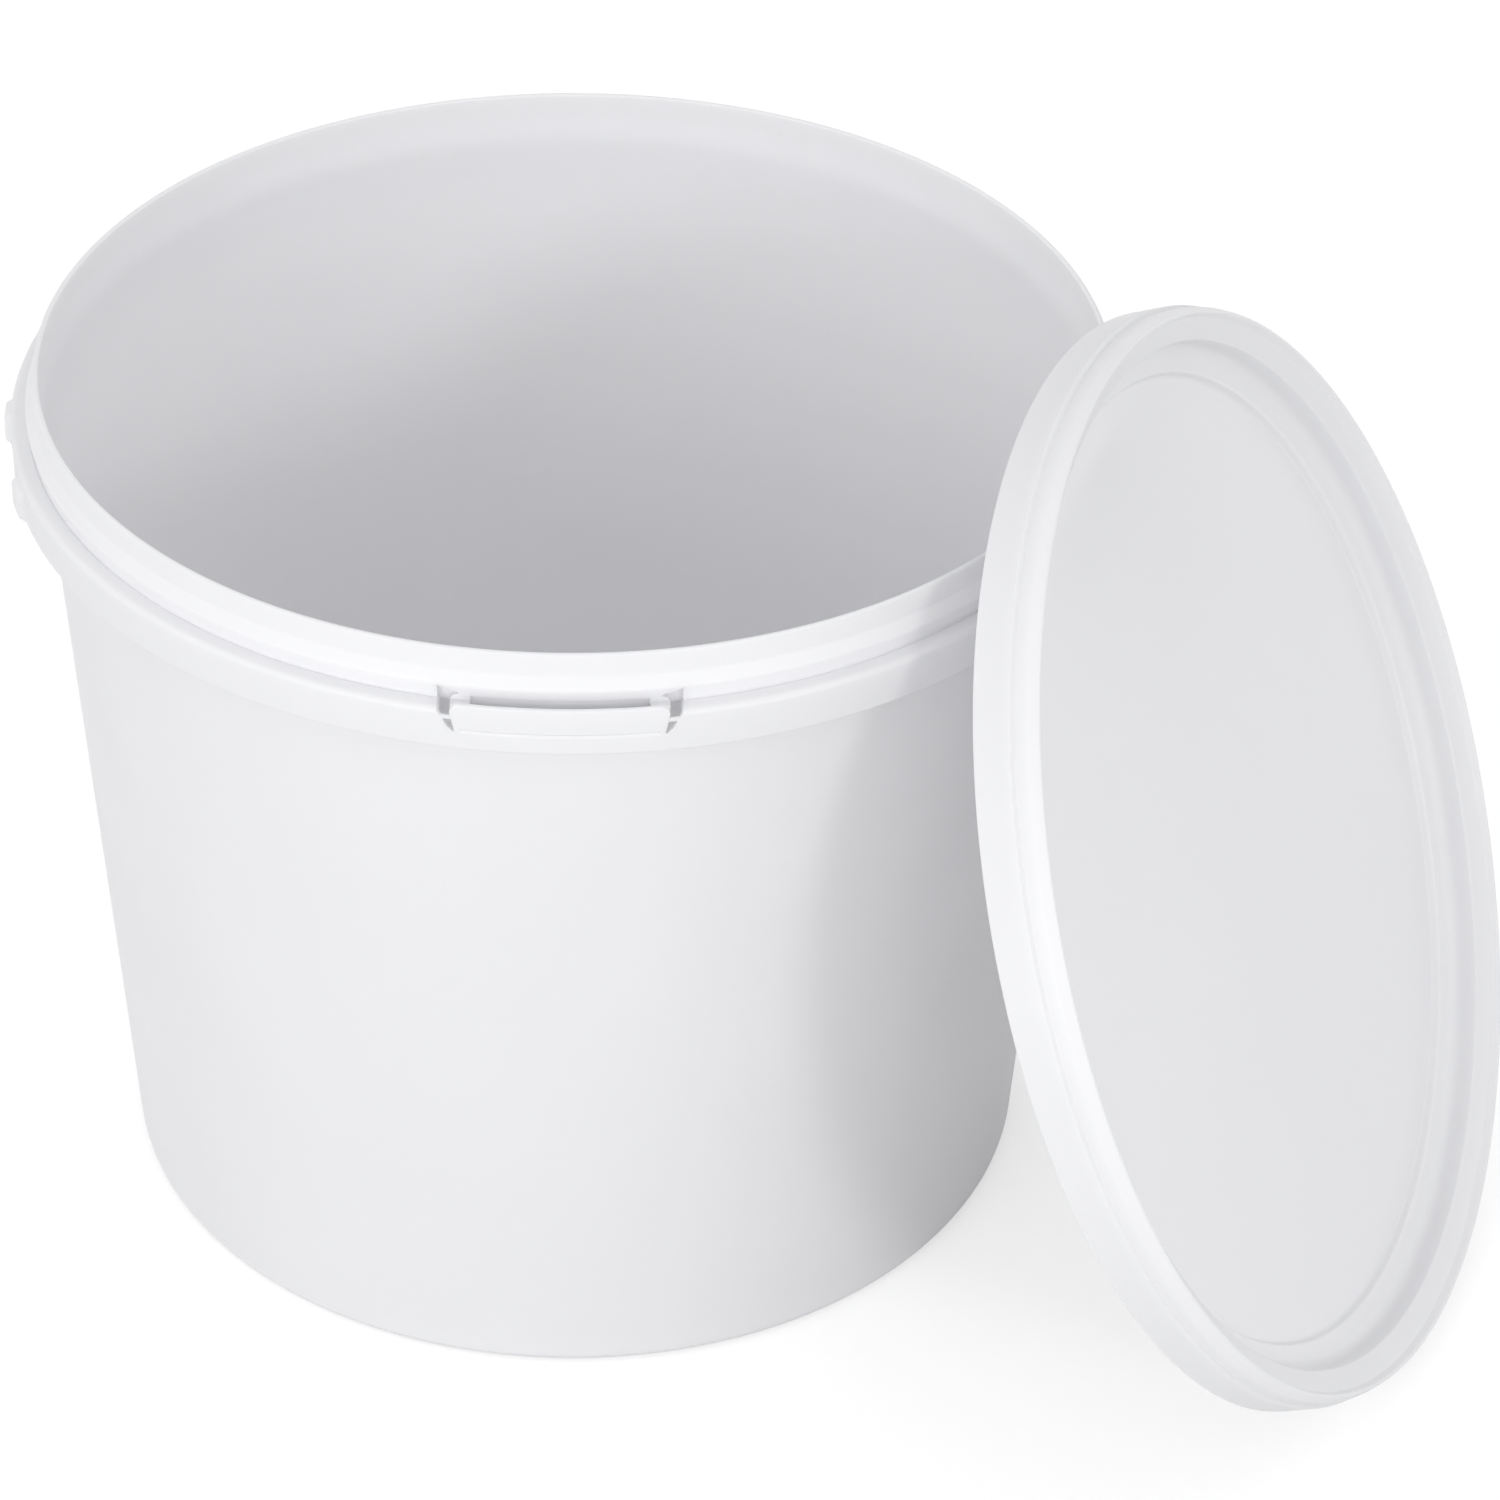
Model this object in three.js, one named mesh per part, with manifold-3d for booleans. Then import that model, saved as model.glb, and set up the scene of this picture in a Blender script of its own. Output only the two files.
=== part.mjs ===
// A round pail of white polypropylene with its lid leaning against it.
// Millimetres, +Z up. The finished group stands on z = 0, centred over its own footprint.
// The pail is one moulding: wall, base, lip, hollow skirt, tear tab and two handle ears.
// The lid is a second moulding. It stands on its free edge and leans on the pail's rim.
import * as THREE from "three";
import { mergeVertices } from "three/addons/utils/BufferGeometryUtils.js";
import Module from "manifold-3d";

const wasm = await Module();
wasm.setup();

const degrees = Math.PI / 180;
const roundSegments = 72; // facets round a full turn, so one corner lies every 5 degrees
const arcSteps = 3; // facets in a small moulded radius

// Pail, heights measured from the floor and depths from the top of the lip
const pailHeight = 188.5;
const lipRadius = 110;
const footRadius = 97; // where the tapered wall would meet the floor
const wall = 1.3;
const baseThickness = 1.6;
const lipThickness = 1.2;
const sealDepth = 10.2; // straight inner band that the lid seals against
const footCorner = 2.4;
const footWidth = 4; // flat ring that the pail stands on
const footRise = 1.8; // how far the base is lifted off the floor inside the foot ring
const gateRadius = 8; // shallow dimple round the moulding gate
const gateDepth = 0.5;
const insideCorner = 3;

// Rim of the pail, from the lip down to the free edge of the skirt
const creaseOut = 0.2; // the lip's outer face is almost upright down to the crease
const creaseDepth = 4.8;
const beadOut = 1.9; // snap bead that the lid catches under
const beadDepth = 7.2;
const neckOut = 1.2; // undercut below the bead
const neckDepth = 9.8;
const flangeDepth = 10.6; // flat top of the skirt
const grooveSink = 0.4; // fine groove at the foot of the undercut
const skirtOut = 5.1; // skirt face, outside the lip
const skirtRound = 1.2; // rounded outer corner of the flange
const skirtDepth = 19.5;
const skirtWall = 1.2;

// Tear tab in the skirt, with a finger slot behind it
const tabAzimuth = -89.25 * degrees;
const tabWidth = 41.7;
const tabRise = 0.4; // how far the tab's top stands above the flange
const tabCorner = 1.8;
const tabTaper = 0.9; // how much each side leans in from top to bottom
const slotWidth = 2.4; // side slots, at the top of the tab
const slotWaist = 1.5; // at the bridges
const slotFoot = 0.5; // at the bottom
const slotEndDepth = 17.3;
const slotTipDepth = 5.8;
const bridgeDepth = 13.2;
const bridgeHeight = 0.9;
const bridgeThickness = 0.8;
const creaseLineDepth = 15.6; // thinned line that the tab folds on
const creaseLineSink = 0.4;
const fingerSlotHalfWidth = 17.4;
const fingerSlotTop = 5.9; // the bead is cut back from here
const fingerSlotBack = 8.7;

// Handle ears on the skirt, a shallow recess between two upright lugs
const earAzimuth = 190.5 * degrees;
const earSpread = 29; // between the middles of the two lugs
const lugWidth = 5;
const lugOut = 1.4;
const lugChamfer = 1.2;
const earRecess = 0.7;

// Lid, heights measured from its free edge
const lidWall = 1.1;
const lidHeight = 13.3;
const fitClearance = 0.2; // running fit of the lid on the pail
const lidStepHeight = 7.8; // small step in the outer face
const lidStep = 0.9;
const ridgeInset = 1.3; // crown of the rim, inside the outer face
const crownDrop = 3.4; // height of the round-over outside the crown
const ridgeWidth = 0.8;
const ridgeFall = 1.7; // from the crown to the edge of the sloping rim
const rimInnerRadius = 105.6;
const rimInnerHeight = 9.85;
const treadRadius = 100;
const treadHeight = 3.7;
const treadFillet = 2.8;
const panelThickness = 1.2;
const rimThickness = 0.7; // at the inner corner of the sloping rim
const edgeBreak = 0.4; // small chamfer on moulded corners
const panelClear = 0.7; // the panel's underside above the free edge
const panelFillet = 0.9;
const sealThickness = 1;
const snapHeight = 1.2; // the rib's edge above the lid's free edge
const sealReach = 4.6; // how far the seal ring enters the pail's mouth
const snapReach = 0.6; // overlap of the lid's snap rib with the pail's bead

// How the lid stands
const lidAzimuth = -19.75 * degrees; // the way its face looks, seen from above
const lidLean = 23.6 * degrees; // its face looks up by this much
const lidShift = -5.3; // sideways, from the line through the pail's axis
const restGap = 0.3;

const cutPast = 1; // how far a cut runs past the surface that it opens

const white = new THREE.Color("#f1f1f2");

const tapered = (z) => footRadius + ((lipRadius - footRadius) * z) / pailHeight;
const depth = (d) => pailHeight - d;

// A small arc from one angle to another, as points for a profile
function arc(r, z, radius, from, to, steps = arcSteps) {
  const curve = new THREE.EllipseCurve(r, z, radius, radius, from * degrees, to * degrees, to < from);
  return curve.getPoints(steps);
}

const at = (r, z) => new THREE.Vector2(r, z);

// A closed mesh with shared corners, as a solid
function toSolid(geometry) {
  const bare = geometry.index ? geometry.toNonIndexed() : geometry.clone();
  bare.deleteAttribute("normal");
  bare.deleteAttribute("uv");
  const merged = mergeVertices(bare, 1e-4);
  const corners = [];
  const index = merged.index.array;
  for (let i = 0; i < index.length; i += 3) {
    const [a, b, c] = [index[i], index[i + 1], index[i + 2]];
    if (a !== b && b !== c && c !== a) corners.push(a, b, c);
  }
  const mesh = new wasm.Mesh({
    numProp: 3,
    vertProperties: merged.attributes.position.array,
    triVerts: new Uint32Array(corners),
  });
  return new wasm.Manifold(mesh);
}

function toGeometry(solid) {
  const mesh = solid.getMesh();
  const geometry = new THREE.BufferGeometry();
  geometry.setAttribute("position", new THREE.BufferAttribute(mesh.vertProperties, 3));
  geometry.setIndex(new THREE.BufferAttribute(mesh.triVerts, 1));
  geometry.computeVertexNormals();
  return geometry;
}

// Profile points (radius, height) turned round the Z axis
function revolve(profile) {
  const geometry = new THREE.LatheGeometry(profile, roundSegments);
  geometry.rotateX(Math.PI / 2);
  return toSolid(geometry);
}

// A ring of rectangular section
function ring(inner, outer, low, high) {
  return revolve([at(inner, low), at(outer, low), at(outer, high), at(inner, high), at(inner, low)]);
}

// An outline seen from outside the pail (x along the rim, y up), pushed inwards like a mould slide
function slide(outline, from, to, azimuth) {
  const shape = new THREE.Shape(outline);
  const geometry = new THREE.ExtrudeGeometry(shape, { depth: to - from, bevelEnabled: false });
  geometry.translate(0, 0, from);
  geometry.applyMatrix4(new THREE.Matrix4().set(0, 0, 1, 0, 1, 0, 0, 0, 0, 1, 0, 0, 0, 0, 0, 1));
  geometry.rotateZ(azimuth);
  return toSolid(geometry);
}

const joined = (solids) => solids.reduce((whole, piece) => whole.add(piece));
const strip = (left, right, top = pailHeight) => [at(left, 0), at(right, 0), at(right, top), at(left, top)];
const mirrored = (outline) => outline.map((p) => at(-p.x, p.y)).reverse();

const skirtRadius = lipRadius + skirtOut;
const skirtInner = skirtRadius - skirtWall;
const flangeRadius = skirtRadius - skirtRound;
const neckRadius = lipRadius + neckOut;
const beadRadius = lipRadius + beadOut;
const sealRadius = lipRadius - lipThickness;
const hollowTop = depth(flangeDepth + skirtWall);
const tabTopDepth = flangeDepth - tabRise;
const backRadius = lipRadius + creaseOut; // upright face behind the tab

function pailProfile() {
  const under = footRise;
  const floor = under + baseThickness;
  const cornerMiddle = tapered(footCorner) - footCorner;
  const footInner = cornerMiddle - footWidth;
  const insideRadius = tapered(floor + insideCorner) - wall;
  const edge = skirtWall / 2;
  return [
    at(0, under + gateDepth),
    at(gateRadius - gateDepth, under + gateDepth),
    at(gateRadius, under),
    at(footInner - footRise, under),
    at(footInner, 0),
    ...arc(cornerMiddle, footCorner, footCorner, -90, 0),
    at(tapered(hollowTop), hollowTop),
    at(skirtInner - edge, hollowTop),
    at(skirtInner, hollowTop - edge),
    ...arc(skirtInner + edge, depth(skirtDepth) + edge, edge, 180, 360),
    ...arc(flangeRadius, depth(flangeDepth) - skirtRound, skirtRound, 0, 90),
    at(neckRadius + grooveSink, depth(flangeDepth)),
    at(neckRadius, depth(flangeDepth) - grooveSink),
    at(neckRadius, depth(neckDepth)),
    at(beadRadius, depth(beadDepth)),
    at(lipRadius + creaseOut, depth(creaseDepth)),
    ...arc(lipRadius - lipThickness / 2, depth(lipThickness / 2), lipThickness / 2, 0, 180, 4),
    at(sealRadius, depth(sealDepth)),
    at(tapered(depth(sealDepth + wall)) - wall, depth(sealDepth + wall / 2)),
    ...arc(insideRadius - insideCorner, floor + insideCorner, insideCorner, 0, -90),
    at(0, floor),
  ];
}

// One side slot of the tear tab: wide and pointed at the top, closing to nothing at the bottom
function sideSlot() {
  const half = tabWidth / 2;
  return [
    at(half + slotWidth, depth(slotTipDepth)),
    at(half - tabCorner / 2, depth(tabTopDepth)),
    at(half, depth(tabTopDepth + tabCorner)),
    at(half - tabTaper, depth(slotEndDepth)),
    at(half - tabTaper + slotFoot, depth(slotEndDepth)),
    at(half + slotWaist, depth(bridgeDepth)),
    at(half + slotWidth, depth(tabTopDepth + tabCorner)),
  ];
}

// The raised plate of the tab, with round top corners
function tabOutline() {
  const half = tabWidth / 2;
  const top = depth(tabTopDepth);
  return [
    at(-(half - tabTaper), depth(slotEndDepth)),
    at(half - tabTaper, depth(slotEndDepth)),
    at(half, top - tabCorner),
    ...arc(half - tabCorner, top - tabCorner, tabCorner, 0, 90).slice(1),
    ...arc(tabCorner - half, top - tabCorner, tabCorner, 90, 180),
  ];
}

function addTearTab(pail) {
  const reach = skirtRadius + lugOut * 2;
  const fromAxis = footRadius / 2;
  const band = ring(skirtInner, skirtRadius, depth(slotEndDepth), depth(tabTopDepth));
  const plate = band.intersect(slide(tabOutline(), fromAxis, reach, tabAzimuth));
  const outside = ring(backRadius, reach, depth(skirtDepth), depth(0));
  const slots = joined([
    slide(sideSlot(), fromAxis, reach, tabAzimuth),
    slide(mirrored(sideSlot()), fromAxis, reach, tabAzimuth),
  ]);
  const slotOutline = strip(-fingerSlotHalfWidth, fingerSlotHalfWidth);
  const fingerLow = hollowTop - skirtWall;
  const fingerBand = revolve([
    at(backRadius, fingerLow),
    at(skirtInner, fingerLow),
    at(skirtInner, depth(fingerSlotTop)),
    at(backRadius + (beadOut - creaseOut) / 2, depth(fingerSlotTop)),
    at(backRadius, depth(fingerSlotBack)),
    at(backRadius, fingerLow),
  ]);
  const fingerSlot = fingerBand.intersect(slide(slotOutline, fromAxis, reach, tabAzimuth));
  const bridgeBand = ring(skirtRadius - bridgeThickness, skirtRadius, depth(bridgeDepth) - bridgeHeight / 2,
    depth(bridgeDepth) + bridgeHeight / 2);
  const bridgeEnd = tabWidth / 2 + slotWidth * 2;
  const bridges = bridgeBand.intersect(slide(strip(-bridgeEnd, bridgeEnd), fromAxis, reach, tabAzimuth));
  const line = depth(creaseLineDepth);
  const lineBand = revolve([
    at(skirtRadius - creaseLineSink, line),
    at(skirtRadius + creaseLineSink, line - creaseLineSink * 2),
    at(skirtRadius + creaseLineSink, line + creaseLineSink * 2),
    at(skirtRadius - creaseLineSink, line),
  ]);
  const foldLine = lineBand.intersect(slide(tabOutline(), fromAxis, reach, tabAzimuth));
  return pail.subtract(fingerSlot).add(plate).subtract(slots.intersect(outside)).add(bridges).subtract(foldLine);
}

function addEar(pail, azimuth) {
  const reach = skirtRadius + lugOut;
  const fromAxis = footRadius / 2;
  const low = depth(skirtDepth);
  const high = depth(flangeDepth + skirtRound);
  const root = skirtInner + skirtWall / 4;
  const lugRing = revolve([
    at(root, low),
    at(reach - lugChamfer, low),
    at(reach, low + lugChamfer),
    at(reach, high - lugChamfer),
    at(root, high),
    at(root, low),
  ]);
  const lug = (middle) =>
    slide(strip(middle - lugWidth / 2, middle + lugWidth / 2), fromAxis, reach + cutPast, azimuth);
  const lugs = lugRing.intersect(joined([lug(-earSpread / 2), lug(earSpread / 2)]));
  const half = (earSpread - lugWidth) / 2;
  const recessBand = ring(skirtRadius - earRecess, reach, low - cutPast, high);
  const recess = recessBand.intersect(slide(strip(-half, half, high), fromAxis, reach + cutPast, azimuth));
  return pail.subtract(recess).add(lugs);
}

function buildPail() {
  let pail = revolve(pailProfile());
  pail = addTearTab(pail);
  pail = addEar(pail, earAzimuth);
  return addEar(pail, earAzimuth + Math.PI);
}

// The lid's section, from the axis out over the face and back along the underside
function lidProfile() {
  const innerFace = beadRadius + fitClearance;
  const outerFace = innerFace + lidWall;
  const upperFace = outerFace - lidStep;
  const ridge = upperFace - ridgeInset;
  const panelTop = panelClear + panelThickness;
  const seal = sealRadius - fitClearance;
  const ceiling = rimInnerHeight - rimThickness;
  const snapRadius = beadRadius - snapReach;
  const plug = rimInnerRadius + panelThickness;
  const crown = new THREE.EllipseCurve(ridge, lidHeight - crownDrop, ridgeInset, crownDrop, Math.PI / 2, 0, true);
  return [
    at(0, panelTop),
    at(treadRadius - panelFillet * 2, panelTop),
    at(treadRadius - panelFillet, panelTop + panelFillet / 3),
    at(treadRadius, treadHeight),
    at(rimInnerRadius - treadFillet, treadHeight),
    ...arc(rimInnerRadius - treadFillet, treadHeight + treadFillet, treadFillet, -60, 0),
    at(rimInnerRadius, rimInnerHeight - edgeBreak),
    at(rimInnerRadius + edgeBreak, rimInnerHeight),
    at(ridge - ridgeWidth, lidHeight - ridgeFall),
    at(ridge - ridgeWidth / 2, lidHeight - ridgeFall / 4),
    ...crown.getPoints(4),
    at(upperFace, lidStepHeight + lidStep / 2),
    at(outerFace, lidStepHeight),
    at(outerFace, lidWall / 3),
    at(outerFace - lidWall / 3, 0),
    at(innerFace + lidWall / 4, 0),
    at(innerFace, lidWall / 3),
    at(snapRadius, snapHeight),
    at(innerFace, snapHeight * 2),
    at(innerFace, lidStepHeight - lidStep),
    at(innerFace - lidStep, lidStepHeight),
    at(innerFace - lidStep, ceiling),
    at(seal, ceiling),
    at(seal, ceiling - sealReach),
    at(seal - sealThickness, ceiling - sealReach - edgeBreak),
    at(seal - sealThickness, ceiling),
    at(plug, ceiling - edgeBreak),
    at(plug, treadHeight + treadFillet - panelThickness),
    at(plug - treadFillet, treadHeight - panelThickness),
    at(treadRadius + panelThickness, treadHeight - panelThickness),
    at(treadRadius, panelClear),
    at(0, panelClear),
  ].reverse();
}

// The lid's group turns its face to look out and up, and puts it on the floor and against the rim
function placeLid(lid, rimProfile, profile) {
  const up = Math.sin(lidLean);
  const out = Math.cos(lidLean);
  const height = -Math.min(...profile.map((p) => p.y * up - p.x * out));
  const touch = Math.max(...rimProfile.map((p) => p.x * out + p.y * up));
  const distance = (touch + restGap - panelClear - height * up) / out;
  const group = new THREE.Group();
  group.rotation.set(0, Math.PI / 2 - lidLean, lidAzimuth, "ZYX");
  const sideways = new THREE.Vector3(-Math.sin(lidAzimuth), Math.cos(lidAzimuth), 0);
  group.position.set(Math.cos(lidAzimuth), Math.sin(lidAzimuth), 0).multiplyScalar(distance);
  group.position.addScaledVector(sideways, lidShift);
  group.position.z = height;
  group.add(lid);
  return group;
}

function plastic(roughness) {
  return new THREE.MeshStandardMaterial({ color: white, roughness, metalness: 0 });
}

const pail = new THREE.Mesh(toGeometry(buildPail()), plastic(0.35));
pail.name = "bucket";
const lid = new THREE.Mesh(toGeometry(revolve(lidProfile())), plastic(0.3));
lid.name = "lid";

const group = new THREE.Group();
group.add(pail, placeLid(lid, pailProfile(), lidProfile()));

// Centre the footprint of the pair over the origin
group.updateMatrixWorld(true);
const box = new THREE.Box3().setFromObject(group, true);
const middle = box.getCenter(new THREE.Vector3());
group.position.set(-middle.x, -middle.y, -box.min.z);

export default group;
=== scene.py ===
# A white polypropylene pail with its snap lid leaning against it, on a pale studio floor.
import math

import bpy
from mathutils import Matrix, Vector


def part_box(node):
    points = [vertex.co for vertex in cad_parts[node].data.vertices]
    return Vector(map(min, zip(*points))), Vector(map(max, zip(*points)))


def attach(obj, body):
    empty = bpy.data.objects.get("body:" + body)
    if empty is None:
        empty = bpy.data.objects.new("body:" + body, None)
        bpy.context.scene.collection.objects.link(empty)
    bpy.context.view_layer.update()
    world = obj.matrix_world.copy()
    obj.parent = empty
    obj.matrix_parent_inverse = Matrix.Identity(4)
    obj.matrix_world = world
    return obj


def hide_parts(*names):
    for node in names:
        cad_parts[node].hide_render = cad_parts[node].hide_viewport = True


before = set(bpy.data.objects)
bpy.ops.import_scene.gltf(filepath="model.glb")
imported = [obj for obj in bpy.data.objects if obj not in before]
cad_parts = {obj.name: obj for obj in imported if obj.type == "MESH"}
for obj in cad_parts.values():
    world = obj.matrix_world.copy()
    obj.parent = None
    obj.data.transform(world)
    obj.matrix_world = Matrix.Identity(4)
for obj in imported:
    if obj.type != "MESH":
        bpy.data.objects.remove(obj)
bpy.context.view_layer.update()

mm = 0.001
sharpAngle = 32  # edges that turn more than this many degrees stay crisp

# The pail stands upright, so its axis runs through the middle of its node's box.
pailLow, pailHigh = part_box("bucket")
pailAxis = Vector(((pailLow[0] + pailHigh[0]) / 2, (pailLow[1] + pailHigh[1]) / 2, 0.0))


# Mesh helpers. A section is a list of (radius, height, corner radius) in millimetres.
def roundCorners(section, steps=5):
    points = []
    count = len(section)
    for i, (r, z, radius) in enumerate(section):
        here = Vector((r, z))
        if radius == 0:
            points.append(here)
            continue
        before = Vector(section[i - 1][:2])
        after = Vector(section[(i + 1) % count][:2])
        toBefore = (before - here).normalized()
        toAfter = (after - here).normalized()
        half = math.acos(max(-1.0, min(1.0, toBefore.dot(toAfter)))) / 2
        reach = min(radius / math.tan(half), 0.49 * (before - here).length, 0.49 * (after - here).length)
        radius = reach * math.tan(half)
        centre = here + (toBefore + toAfter).normalized() * (radius / math.sin(half))
        a = here + toBefore * reach - centre
        b = here + toAfter * reach - centre
        turn = math.atan2(a.x * b.y - a.y * b.x, a.dot(b))
        for k in range(steps + 1):
            c, s = math.cos(turn * k / steps), math.sin(turn * k / steps)
            points.append(centre + Vector((a.x * c - a.y * s, a.x * s + a.y * c)))
    return points


def makePiece(name, vertices, faces):
    mesh = bpy.data.meshes.new(name)
    mesh.from_pydata(vertices, [], faces)
    mesh.update()
    piece = bpy.data.objects.new(name, mesh)
    bpy.context.scene.collection.objects.link(piece)
    return piece


# A closed section turned round Z: all the way, or from one azimuth to another with end caps
def turn(name, points, segments, start=0.0, end=2 * math.pi):
    full = abs(end - start - 2 * math.pi) < 1e-9
    columns = segments if full else segments + 1
    vertices = []
    rows = []  # index of each point in each column; a point on the axis is shared
    shared = {}
    for c in range(columns):
        angle = start + (end - start) * c / segments
        row = []
        for i, p in enumerate(points):
            if p.x < 1e-6:
                if i not in shared:
                    shared[i] = len(vertices)
                    vertices.append((0.0, 0.0, p.y * mm))
                row.append(shared[i])
            else:
                row.append(len(vertices))
                vertices.append((p.x * math.cos(angle) * mm, p.x * math.sin(angle) * mm, p.y * mm))
        rows.append(row)
    faces = []
    count = len(points)
    for c in range(segments):
        near, far = rows[c], rows[(c + 1) % columns]
        for i in range(count):
            j = (i + 1) % count
            corners = [near[i], far[i], far[j], near[j]]
            corners = [v for k, v in enumerate(corners) if v != corners[k - 1]]
            if len(corners) > 2:
                faces.append(corners)
    if not full:
        faces.append(rows[0])
        faces.append(list(reversed(rows[-1])))
    return makePiece(name, vertices, faces)


# An outline seen from outside the pail (x along the rim, z up), pushed in towards the axis
def slide(name, outline, near, far, azimuth):
    outward = Vector((math.cos(azimuth), math.sin(azimuth), 0))
    along = Vector((-math.sin(azimuth), math.cos(azimuth), 0))
    vertices = []
    for reach in (near, far):
        for x, z in outline:
            vertices.append((outward * reach + along * x + Vector((0, 0, z))) * mm)
    n = len(outline)
    faces = [list(reversed(range(n))), list(range(n, 2 * n))]
    for i in range(n):
        j = (i + 1) % n
        faces.append([i, j, n + j, n + i])
    return makePiece(name, vertices, faces)


def combine(piece, other, operation):
    modifier = piece.modifiers.new(operation, "BOOLEAN")
    modifier.operation = operation
    modifier.solver = "MANIFOLD"
    modifier.object = other
    graph = bpy.context.evaluated_depsgraph_get()
    mesh = bpy.data.meshes.new_from_object(piece.evaluated_get(graph))
    piece.modifiers.clear()
    old = piece.data
    piece.data = mesh
    bpy.data.meshes.remove(old)
    bpy.data.objects.remove(other)
    return piece


def smoothOver(piece):
    mesh = piece.data
    mesh.shade_smooth()
    mesh.set_sharp_from_angle(angle=math.radians(sharpAngle))


# Node helpers
def linearColor(hexText):
    channels = [int(hexText[i:i + 2], 16) / 255 for i in (1, 3, 5)]
    linear = [c / 12.92 if c <= 0.04045 else ((c + 0.055) / 1.055) ** 2.4 for c in channels]
    return (*linear, 1.0)


def addNode(tree, kind, settings=None, links=None):
    node = tree.nodes.new(kind)
    for key, value in (settings or {}).items():
        if hasattr(node, key):
            setattr(node, key, value)
        else:
            node.inputs[key].default_value = value
    for key, source in (links or {}).items():
        tree.links.new(source, node.inputs[key])
    return node


def newMaterial(name):
    material = bpy.data.materials.new(name)
    material.use_nodes = True
    material.node_tree.nodes.clear()
    return material, material.node_tree


pail = {
    "height": 188.5,
    "lipRadius": 110.0,
    "footRadius": 97.0,
    "wall": 1.3,
    "base": 1.6,
    "lipThickness": 1.2,
    "sealDepth": 5.5,
    "blendDepth": 17.0,  # the inner face thickens so gently that no line shows
    "footCorner": 2.4,
    "footInner": 90.77,
    "footRise": 1.8,
    "gateRadius": 8.0,
    "gateDepth": 0.5,
    "creaseOut": 0.2,
    "creaseDepth": 4.8,
    "beadOut": 1.9,
    "beadDepth": 7.2,
    "neckOut": 1.2,
    "neckDepth": 9.8,
    "flangeDepth": 10.6,
    "groove": 0.4,
    "skirtOut": 5.1,
    "skirtRound": 1.2,
    "skirtDepth": 19.5,
    "skirtWall": 1.2,
    "segments": 360,
}

tab = {
    "azimuth": math.radians(-89.25),
    "width": 41.7,
    "rise": 1.2,
    "corner": 1.8,
    "taper": 0.9,
    "slotWidth": 2.4,
    "slotTip": 7.6,
    "slotBack": 109.8,
    "slotEnd": 15.4,
    "bridgeDepth": 12.5,
    "bridgeHeight": 0.9,
    "bridgeThickness": 0.8,
    "bridgeHalfLength": 2.4,
    "foldDepth": 15.2,
    "foldSink": 0.3,
    "fingerHalfWidth": 17.4,
    "fingerTop": 9.6,
    "fingerBack": 110.5,
}

ear = {
    "azimuth": math.radians(190.5),
    "spread": 29.6,
    "lugWidth": 5.8,
    "lugOut": 1.4,
    "lugChamfer": 1.2,
    "recess": 0.25,
}


def pailDepth(d):
    return pail["height"] - d


def taperAt(z):
    return pail["footRadius"] + (pail["lipRadius"] - pail["footRadius"]) * z / pail["height"]


def pailSection():
    p = pail
    floor = p["footRise"] + p["base"]
    hollow = pailDepth(p["flangeDepth"] + p["skirtWall"])
    skirt = p["lipRadius"] + p["skirtOut"]
    inner = skirt - p["skirtWall"]
    neck = p["lipRadius"] + p["neckOut"]
    seal = p["lipRadius"] - p["lipThickness"]
    blend = pailDepth(p["blendDepth"])
    return [
        (0, p["footRise"] + p["gateDepth"], 0),
        (p["gateRadius"] - p["gateDepth"], p["footRise"] + p["gateDepth"], 0.2),
        (p["gateRadius"], p["footRise"], 0.2),
        (p["footInner"] - p["footRise"], p["footRise"], 0.6),
        (p["footInner"], 0, 0.6),
        (taperAt(0), 0, p["footCorner"]),
        (taperAt(hollow), hollow, 0.4),
        (inner, hollow, 0.5),
        (inner, pailDepth(p["skirtDepth"]), 0.45),
        (skirt, pailDepth(p["skirtDepth"]), 0.5),
        (skirt, pailDepth(p["flangeDepth"]), p["skirtRound"]),
        (neck + p["groove"], pailDepth(p["flangeDepth"]), 0.2),
        (neck, pailDepth(p["flangeDepth"]) - p["groove"], 0.1),
        (neck, pailDepth(p["neckDepth"]), 0.5),
        (p["lipRadius"] + p["beadOut"], pailDepth(p["beadDepth"]), 0.9),
        (p["lipRadius"] + p["creaseOut"], pailDepth(p["creaseDepth"]), 0.8),
        (p["lipRadius"], p["height"], 0.55),
        (seal, p["height"], 0.55),
        (seal, pailDepth(p["sealDepth"]), 90),
        (taperAt(blend) - p["wall"], blend, 90),
        (taperAt(floor) - p["wall"], floor, 3.0),
        (0, floor, 0),
    ]


# An upright band of the rim between two azimuths, for cutting or adding
def rimBand(name, section, azimuth, halfWidth, radius, steps=48):
    half = math.asin(halfWidth / radius)
    return turn(name, [Vector(p) for p in section], steps, azimuth - half, azimuth + half)


def arcPoints(x, z, radius, fromDegrees, toDegrees, steps=8):
    points = []
    for k in range(steps + 1):
        a = math.radians(fromDegrees + (toDegrees - fromDegrees) * k / steps)
        points.append((x + radius * math.cos(a), z + radius * math.sin(a)))
    return points


def tabOutline(half, low, top):
    corner = tab["corner"]
    return [
        (-(half - tab["taper"]), low),
        (half - tab["taper"], low),
        *arcPoints(half - corner, top - corner, corner, 0, 90),
        *arcPoints(corner - half, top - corner, corner, 90, 180),
    ]


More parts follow.
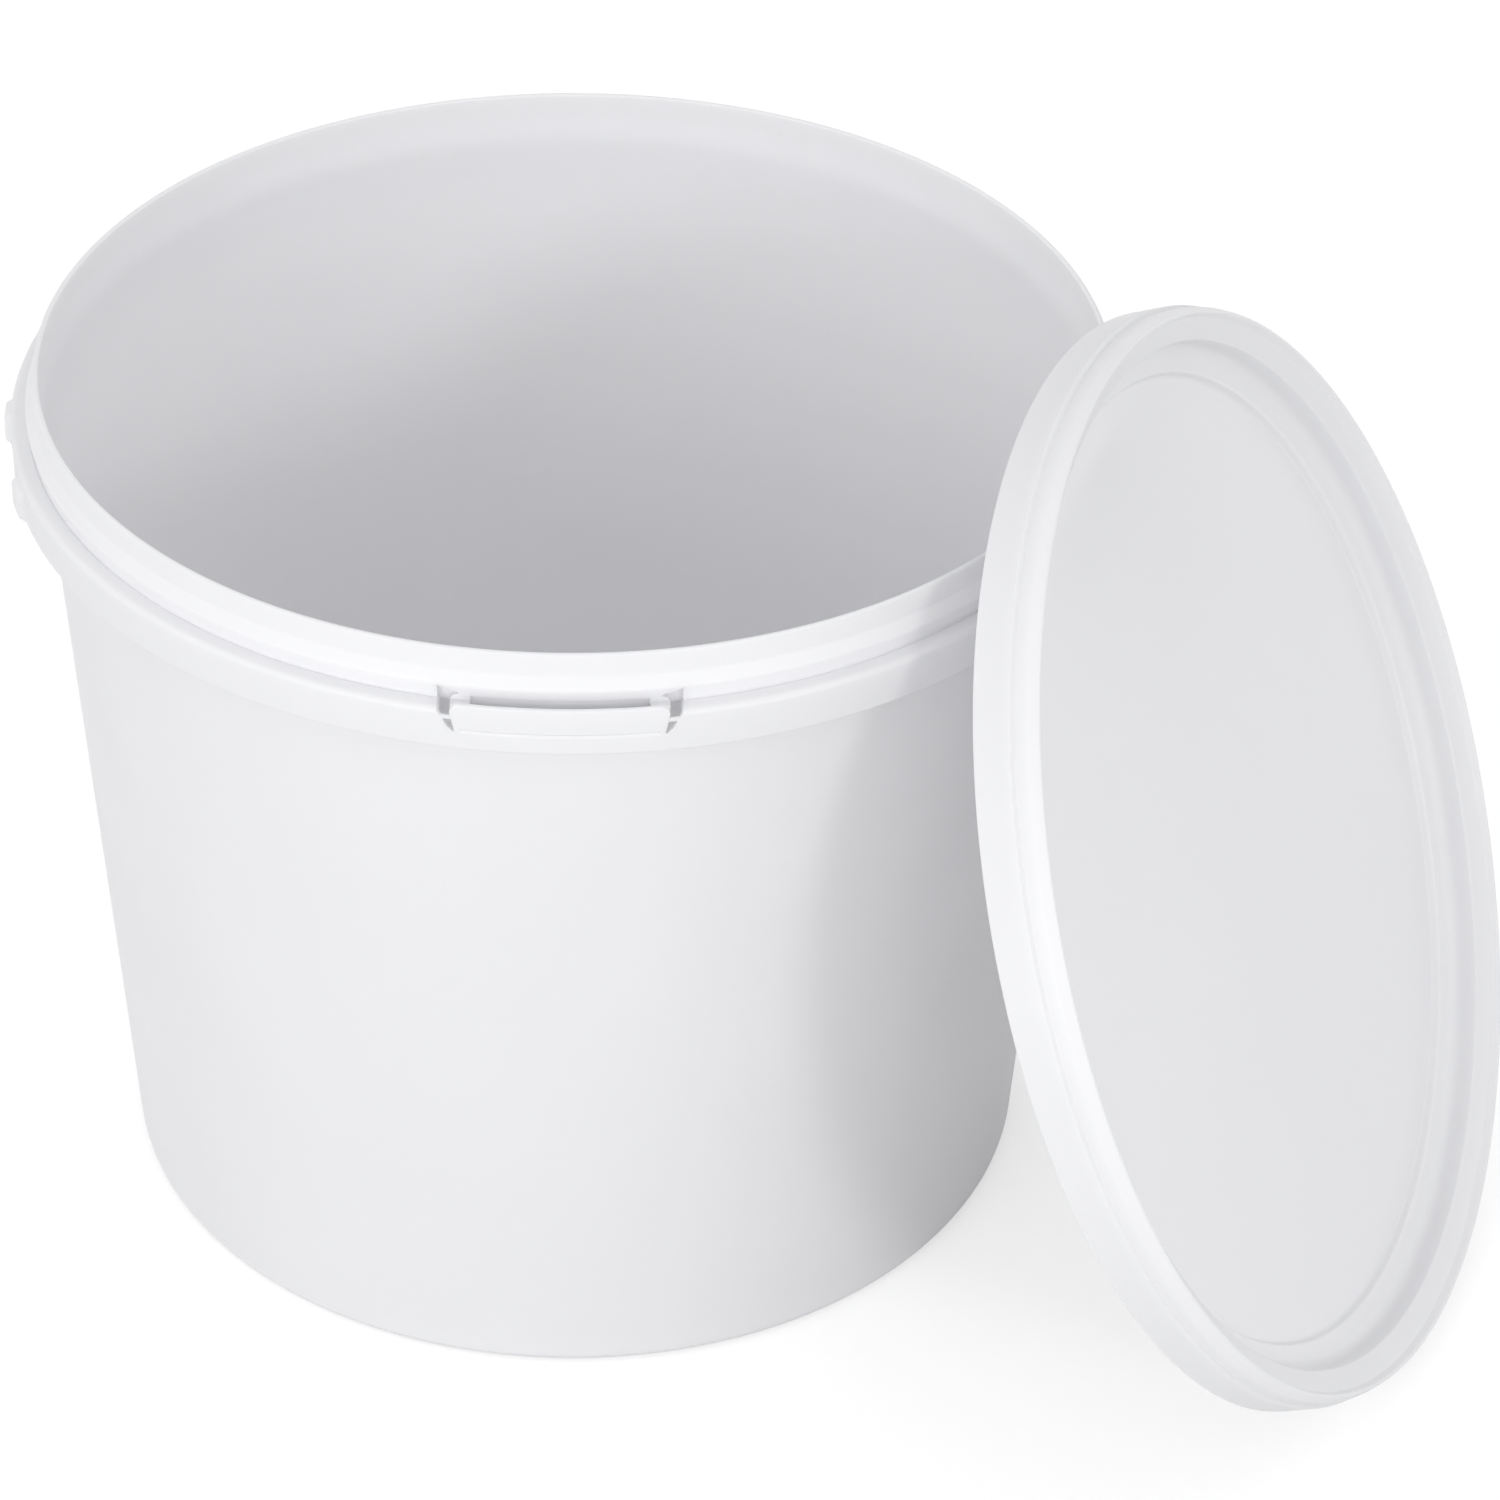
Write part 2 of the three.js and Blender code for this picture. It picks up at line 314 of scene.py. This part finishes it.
# The slot beside the tab is widest at the flange and runs out to a tip above and below.
def slotOutline(side):
    half = tab["width"] / 2
    corner = tab["corner"]
    top = pailDepth(pail["flangeDepth"] - tab["rise"])
    outline = [
        (half + tab["slotWidth"], pailDepth(tab["slotTip"])),
        (half - corner * 0.9, top + 0.3),
        *reversed(arcPoints(half - corner, top - corner, corner, 0, 80)),
        (half - tab["taper"], pailDepth(tab["slotEnd"])),
        (half - tab["taper"] + 0.4, pailDepth(tab["slotEnd"])),
        (half + 0.6, pailDepth(tab["bridgeDepth"] + 1.8)),
        (half + tab["slotWidth"] * 0.62, pailDepth(tab["bridgeDepth"])),
        (half + tab["slotWidth"], pailDepth(pail["flangeDepth"] + 0.6)),
    ]
    if side > 0:
        return outline
    return [(-x, z) for x, z in reversed(outline)]


def cutTearTab(body):
    skirt = pail["lipRadius"] + pail["skirtOut"]
    inner = skirt - pail["skirtWall"]
    back = tab["slotBack"]
    outer = skirt + 4
    hollow = pailDepth(pail["flangeDepth"] + pail["skirtWall"])
    fingerSection = [
        (tab["fingerBack"], hollow - pail["skirtWall"]),
        (inner, hollow - pail["skirtWall"]),
        (inner, pailDepth(tab["fingerTop"])),
        (tab["fingerBack"], pailDepth(tab["fingerTop"])),
    ]
    finger = rimBand("finger", fingerSection, tab["azimuth"], tab["fingerHalfWidth"], inner)
    combine(body, finger, "DIFFERENCE")
    half = tab["width"] / 2
    low = pailDepth(tab["slotEnd"])
    top = pailDepth(pail["flangeDepth"] - tab["rise"])
    plateSection = roundCorners([(inner, low, 0), (skirt, low, 0), (skirt, top, 0.4), (inner, top, 0.4)])
    plateAngle = 0.3  # radians to each side, wider than the tab, which its outline then cuts out
    plate = turn("plate", plateSection, 64, tab["azimuth"] - plateAngle, tab["azimuth"] + plateAngle)
    outline = slide("outline", tabOutline(half, low, top), back / 2, outer, tab["azimuth"])
    combine(plate, outline, "INTERSECT")
    combine(body, plate, "UNION")
    for side in (1, -1):
        slot = slide("slot", slotOutline(side), back / 2, outer, tab["azimuth"])
        outside = [(back, low - 1), (outer, low - 1), (outer, pail["height"]), (back, pail["height"])]
        outsideHalf = half + 2 * tab["slotWidth"]
        combine(slot, rimBand("outside", outside, tab["azimuth"], outsideHalf, skirt), "INTERSECT")
        combine(body, slot, "DIFFERENCE")
        bridgeHalf = tab["bridgeHeight"] / 2
        middle = pailDepth(tab["bridgeDepth"])
        bridgeSection = roundCorners([
            (skirt - tab["bridgeThickness"], middle - bridgeHalf, 0.2),
            (skirt - 0.1, middle - bridgeHalf, 0.25),
            (skirt - 0.1, middle + bridgeHalf, 0.25),
            (skirt - tab["bridgeThickness"], middle + bridgeHalf, 0.2),
        ])
        away = math.asin((half + 0.6) / skirt) * side
        middleAngle = tab["azimuth"] + away
        halfAngle = tab["bridgeHalfLength"] / skirt
        bridge = turn("bridge", bridgeSection, 8, middleAngle - halfAngle, middleAngle + halfAngle)
        combine(body, bridge, "UNION")
    fold = pailDepth(tab["foldDepth"])
    foldSection = [(skirt - tab["foldSink"], fold), (skirt + 1, fold - 2), (skirt + 1, fold + 2)]
    foldHalf = half - tab["taper"] - 1.0
    combine(body, rimBand("fold", foldSection, tab["azimuth"], foldHalf, skirt), "DIFFERENCE")
    return body


def addEar(body, azimuth):
    skirt = pail["lipRadius"] + pail["skirtOut"]
    buried = skirt - pail["skirtWall"] * 0.75
    reach = skirt + ear["lugOut"]
    low = pailDepth(pail["skirtDepth"])
    high = pailDepth(pail["flangeDepth"] + pail["skirtRound"] * 0.8)
    between = (ear["spread"] - ear["lugWidth"]) / 2 / skirt
    sunk = skirt - ear["recess"]
    recessSection = [(sunk, low - 1), (reach, low - 1), (reach, high), (sunk, high)]
    recess = turn("recess", [Vector(p) for p in recessSection], 24, azimuth - between, azimuth + between)
    combine(body, recess, "DIFFERENCE")
    lugSection = roundCorners([
        (buried, low + 0.2, 0),
        (reach - ear["lugChamfer"], low + 0.2, 0.3),
        (reach, low + 0.2 + ear["lugChamfer"], 0.6),
        (reach, high - ear["lugChamfer"], 1.0),
        (buried, high, 0),
    ])
    for side in (1, -1):
        middle = azimuth + side * ear["spread"] / 2 / skirt
        half = ear["lugWidth"] / 2 / skirt
        combine(body, turn("lug", lugSection, 12, middle - half, middle + half), "UNION")
    return body


def mouldPail():
    body = turn("pail", roundCorners(pailSection()), pail["segments"])
    cutTearTab(body)
    addEar(body, ear["azimuth"])
    addEar(body, ear["azimuth"] + math.pi)
    body.data.transform(Matrix.Translation(pailAxis))
    body.data.materials.clear()  # cutting leaves an empty slot
    smoothOver(body)
    return body


pailPiece = mouldPail()
print("pail moulded:", len(pailPiece.data.polygons), "faces")

lid = {
    "innerFace": 112.1,
    "wall": 1.1,
    "height": 13.3,
    "step": 0.9,
    "stepHeight": 7.8,
    "crownInset": 1.3,
    "ridgeInner": 110.2,
    "ridgeFoot": 11.6,
    "rimInner": 105.6,
    "rimHeight": 9.85,
    "tread": 100.0,
    "treadHeight": 3.7,
    "panelTop": 1.9,
    "panelUnder": 0.7,
    "thickness": 1.2,
    "shoulderDrop": 2.2,
    "crownHalfWidth": 0.35,
    "panelEdge": 0.4,
    "seal": 108.6,
    "sealThickness": 1.0,
    "sealReach": 4.6,
    "snapRadius": 111.3,
    "snapHeight": 1.2,
    "azimuth": math.radians(-19.75),
    "lean": math.radians(23.6),
    "shift": -5.3,
    "gap": 0.3,
    "segments": 360,
}


def lidSection():
    d = lid
    outer = d["innerFace"] + d["wall"]
    upper = outer - d["step"]
    inner = d["innerFace"] - d["step"]
    crown = upper - d["crownInset"]
    ceiling = d["rimHeight"] - d["thickness"] + 0.5
    plug = d["rimInner"] + d["thickness"]
    ring = d["seal"] - d["sealThickness"]
    return [
        (0, d["panelUnder"], 0),
        (d["tread"], d["panelUnder"], 0.6),
        (d["tread"] + d["thickness"], d["treadHeight"] - d["thickness"], 0.6),
        (plug, d["treadHeight"] - d["thickness"], 3.4),
        (plug, ceiling - 0.4, 0.2),
        (ring, ceiling, 0.2),
        (ring, ceiling - d["sealReach"], 0.3),
        (d["seal"], ceiling - d["sealReach"], 0.5),
        (d["seal"], ceiling, 0.2),
        (inner, ceiling, 0.4),
        (inner, d["stepHeight"], 0.4),
        (d["innerFace"], d["stepHeight"] - d["step"], 0.4),
        (d["innerFace"], d["snapHeight"] * 2, 0.4),
        (d["snapRadius"], d["snapHeight"], 0.4),
        (d["innerFace"], 0, 0.4),
        (outer, 0, 0.45),
        (outer, d["stepHeight"], 0.25),
        (upper, d["stepHeight"] + d["step"] / 2, 0.25),
        (upper, d["height"] - d["shoulderDrop"], 2.0),
        (crown + d["crownHalfWidth"], d["height"], 0.7),
        (crown - d["crownHalfWidth"], d["height"], 0.4),
        (d["ridgeInner"], d["ridgeFoot"], 0.4),
        (d["rimInner"], d["rimHeight"], 0.5),
        (d["rimInner"], d["treadHeight"], 2.8),
        (d["tread"], d["treadHeight"], 0.6),
        (d["tread"] - d["panelEdge"], d["panelTop"], 0.9),
        (0, d["panelTop"], 0),
    ]


# The lid stands on its free edge and leans back until it all but touches the pail's rim.
def placeOfLid(points):
    up = math.sin(lid["lean"])
    out = math.cos(lid["lean"])
    height = -min(p.y * up - p.x * out for p in points)
    touch = max(p.x * out + p.y * up for p in roundCorners(pailSection()))
    distance = (touch + lid["gap"] - lid["panelUnder"] - height * up) / out
    away = Vector((math.cos(lid["azimuth"]), math.sin(lid["azimuth"]), 0))
    across = Vector((-math.sin(lid["azimuth"]), math.cos(lid["azimuth"]), 0))
    place = away * distance + across * lid["shift"] + Vector((0, 0, height))
    turned = Matrix.Rotation(lid["azimuth"], 4, "Z") @ Matrix.Rotation(math.pi / 2 - lid["lean"], 4, "Y")
    return Matrix.Translation(pailAxis + place * mm) @ turned


def mouldLid():
    points = roundCorners(lidSection())
    piece = turn("snapLid", points, lid["segments"])
    for polygon in piece.data.polygons:
        middle = polygon.center
        onPanel = math.hypot(middle.x, middle.y) < (lid["tread"] - 1) * mm
        polygon.material_index = 1 if onPanel and polygon.normal.z > 0.5 else 0
    piece.data.transform(placeOfLid(points))
    smoothOver(piece)
    return piece


lidPiece = mouldLid()
print("lid moulded:", len(lidPiece.data.polygons), "faces")

# Injection-moulded polypropylene, white: a satin skin with faint waves, so highlights are soft and broad.
# Sizes are in millimetres.
moulded = {
    "color": "#f5f5f7",
    "cloud": "#f1f1f4",
    "subsurface": 0.35,  # thin polypropylene lets some light through
    "roughness": 0.48,
    "roughnessSpread": 0.05,
    "ior": 1.49,
    "cloudSize": 35,
    "grainSize": 0.5,  # spark-eroded mould texture is finer; drawn coarse enough to show
    "grainHeight": 0.004,
    "waveSize": 28,
    "waveHeight": 0.03,
    "scatterReach": 4.0,
    "scatterTint": (1.0, 0.97, 0.94),
}

# Polished mould face, same plastic: glossy enough to mirror the lid's own rim in a soft band.
polished = {
    "color": "#f4f4f7",
    "cloud": "#f0f0f4",
    "subsurface": 0.35,
    "roughness": 0.2,
    "roughnessSpread": 0.03,
    "ior": 1.49,
    "cloudSize": 60,
    "grainSize": 0.8,
    "grainHeight": 0.001,
    "waveSize": 45,
    "waveHeight": 0.04,
    "scatterReach": 4.0,
    "scatterTint": (1.0, 0.97, 0.94),
}


def polypropylene(name, d):
    material, tree = newMaterial(name)
    place = addNode(tree, "ShaderNodeTexCoord").outputs["Object"]
    clouds = addNode(tree, "ShaderNodeTexNoise", {"Scale": 1 / (d["cloudSize"] * mm), "Detail": 4.0},
                     {"Vector": place})
    shade = addNode(tree, "ShaderNodeMix", {"data_type": "RGBA"})
    colors = {"A": linearColor(d["color"]), "B": linearColor(d["cloud"])}
    for socket in shade.inputs:
        if socket.type == "RGBA":
            socket.default_value = colors[socket.name]
    tree.links.new(clouds.outputs["Fac"], shade.inputs["Factor"])
    tint = [socket for socket in shade.outputs if socket.type == "RGBA"][0]
    smoothest = d["roughness"] - d["roughnessSpread"]
    roughest = d["roughness"] + d["roughnessSpread"]
    rough = addNode(tree, "ShaderNodeMapRange",
                    {"From Min": 0.3, "From Max": 0.7, "To Min": smoothest, "To Max": roughest},
                    {"Value": clouds.outputs["Fac"]})
    waves = addNode(tree, "ShaderNodeTexNoise", {"Scale": 1 / (d["waveSize"] * mm), "Detail": 1.0},
                    {"Vector": place})
    waveBump = addNode(tree, "ShaderNodeBump", {"Distance": d["waveHeight"] * mm, "Strength": 1.0},
                       {"Height": waves.outputs["Fac"]})
    grain = addNode(tree, "ShaderNodeTexNoise", {"Scale": 1 / (d["grainSize"] * mm), "Detail": 2.0},
                    {"Vector": place})
    grainBump = addNode(tree, "ShaderNodeBump", {"Distance": d["grainHeight"] * mm, "Strength": 1.0},
                        {"Height": grain.outputs["Fac"], "Normal": waveBump.outputs["Normal"]})
    shader = addNode(tree, "ShaderNodeBsdfPrincipled",
                     {"IOR": d["ior"], "Subsurface Weight": d["subsurface"],
                      "Subsurface Radius": d["scatterTint"], "Subsurface Scale": d["scatterReach"] * mm},
                     {"Base Color": tint, "Roughness": rough.outputs["Result"],
                      "Normal": grainBump.outputs["Normal"]})
    addNode(tree, "ShaderNodeOutputMaterial", {}, {"Surface": shader.outputs["BSDF"]})
    return material


mouldedPolypropylene = polypropylene("mouldedPolypropylene", moulded)
polishedPolypropylene = polypropylene("polishedPolypropylene", polished)
pailPiece.data.materials.append(mouldedPolypropylene)
lidPiece.data.materials.append(mouldedPolypropylene)
lidPiece.data.materials.append(polishedPolypropylene)
for node, piece in (("bucket", pailPiece), ("lid", lidPiece)):
    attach(piece, "root")
    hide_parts(node)
print("materials made")

studio = {
    "floorColor": "#d8d8d8",
    "floorSize": 6.0,
    "floorDrop": 0.0002,  # just under the foot, so that the two faces don't meet
    "aimHeight": 0.1,
    "floorGlow": 0.48,
    "worldLight": 0.77,
    "keyPower": 3.6,
    "keySize": 0.28,
    "keyDistance": 1.8,
    "fillPower": 10.4,
    "fillSize": 1.4,
    "fillDistance": 2.0,
    "fillAzimuth": math.radians(-118),
    "fillElevation": math.radians(12),
    "keyAzimuth": math.radians(-58),
    "keyElevation": math.radians(20),
}


# 1 where the camera or a mirror-like reflection looks, so both see the pale background
def seenDirectly(tree):
    path = addNode(tree, "ShaderNodeLightPath")
    both = addNode(tree, "ShaderNodeMath", {"operation": "MAXIMUM"},
                   {0: path.outputs["Is Camera Ray"], 1: path.outputs["Is Glossy Ray"]})
    return both.outputs["Value"]


# The floor is pale to the camera and keeps the soft shadow of what stands on it.
def layFloor():
    half = studio["floorSize"] / 2
    z = -studio["floorDrop"]
    corners = [(-half, -half, z), (half, -half, z), (half, half, z), (-half, half, z)]
    floor = makePiece("studioFloor", corners, [[0, 1, 2, 3]])
    material, tree = newMaterial("paintedStudioFloor")
    seen = seenDirectly(tree)
    glow = addNode(tree, "ShaderNodeMath", {"operation": "MULTIPLY"}, {0: seen})
    glow.inputs[1].default_value = studio["floorGlow"]
    shader = addNode(tree, "ShaderNodeBsdfPrincipled",
                     {"Base Color": linearColor(studio["floorColor"]), "Roughness": 0.9,
                      "Specular IOR Level": 0.0, "Emission Color": (1, 1, 1, 1)},
                     {"Emission Strength": glow.outputs["Value"]})
    addNode(tree, "ShaderNodeOutputMaterial", {}, {"Surface": shader.outputs["BSDF"]})
    floor.data.materials.append(material)


def lightStudio():
    world = bpy.data.worlds.new("studio")
    bpy.context.scene.world = world
    world.use_nodes = True
    tree = world.node_tree
    tree.nodes.clear()
    seen = seenDirectly(tree)
    strength = addNode(tree, "ShaderNodeMapRange", {"To Min": studio["worldLight"], "To Max": 1.0},
                       {"Value": seen})
    sky = addNode(tree, "ShaderNodeBackground", {"Color": (1, 1, 1, 1)},
                  {"Strength": strength.outputs["Result"]})
    addNode(tree, "ShaderNodeOutputWorld", {}, {"Surface": sky.outputs["Background"]})
    for name in ("key", "fill"):
        light = bpy.data.lights.new(name + "Light", "AREA")
        light.shape = "DISK"
        light.size = studio[name + "Size"]
        light.energy = studio[name + "Power"]
        lamp = bpy.data.objects.new(name + "Light", light)
        azimuth, elevation = studio[name + "Azimuth"], studio[name + "Elevation"]
        towards = Vector((math.cos(azimuth) * math.cos(elevation), math.sin(azimuth) * math.cos(elevation),
                          math.sin(elevation)))
        lamp.location = pailAxis + Vector((0, 0, studio["aimHeight"])) + towards * studio[name + "Distance"]
        lamp.rotation_euler = towards.to_track_quat("Z", "Y").to_euler()
        bpy.context.scene.collection.objects.link(lamp)


# The camera was fitted to the outlines of the pail and the lid.
view = {
    "elevation": math.radians(35.371),
    "roll": math.radians(1.116),
    "distance": 1166.95,
    "aimX": 37.457,
    "aimZ": 89.457,
    "lens": 130.42,
    "sensor": 36.0,
}


def placeCamera():
    e, r = view["elevation"], view["roll"]
    back = Vector((0, -math.cos(e), math.sin(e)))
    level = Vector((1, 0, 0))
    upright = Vector((0, math.sin(e), math.cos(e)))
    right = level * math.cos(r) + upright * math.sin(r)
    up = upright * math.cos(r) - level * math.sin(r)
    data = bpy.data.cameras.new("camera")
    data.lens = view["lens"]
    data.sensor_width = view["sensor"]
    data.clip_start = 0.05
    camera = bpy.data.objects.new("camera", data)
    place = pailAxis + (Vector((view["aimX"], 0, view["aimZ"])) + back * view["distance"]) * mm
    camera.matrix_world = Matrix.Translation(place) @ Matrix((right, up, back)).transposed().to_4x4()
    bpy.context.scene.collection.objects.link(camera)
    bpy.context.scene.camera = camera


layFloor()
lightStudio()
placeCamera()
bpy.context.scene.view_settings.view_transform = "Standard"
print("studio lit")
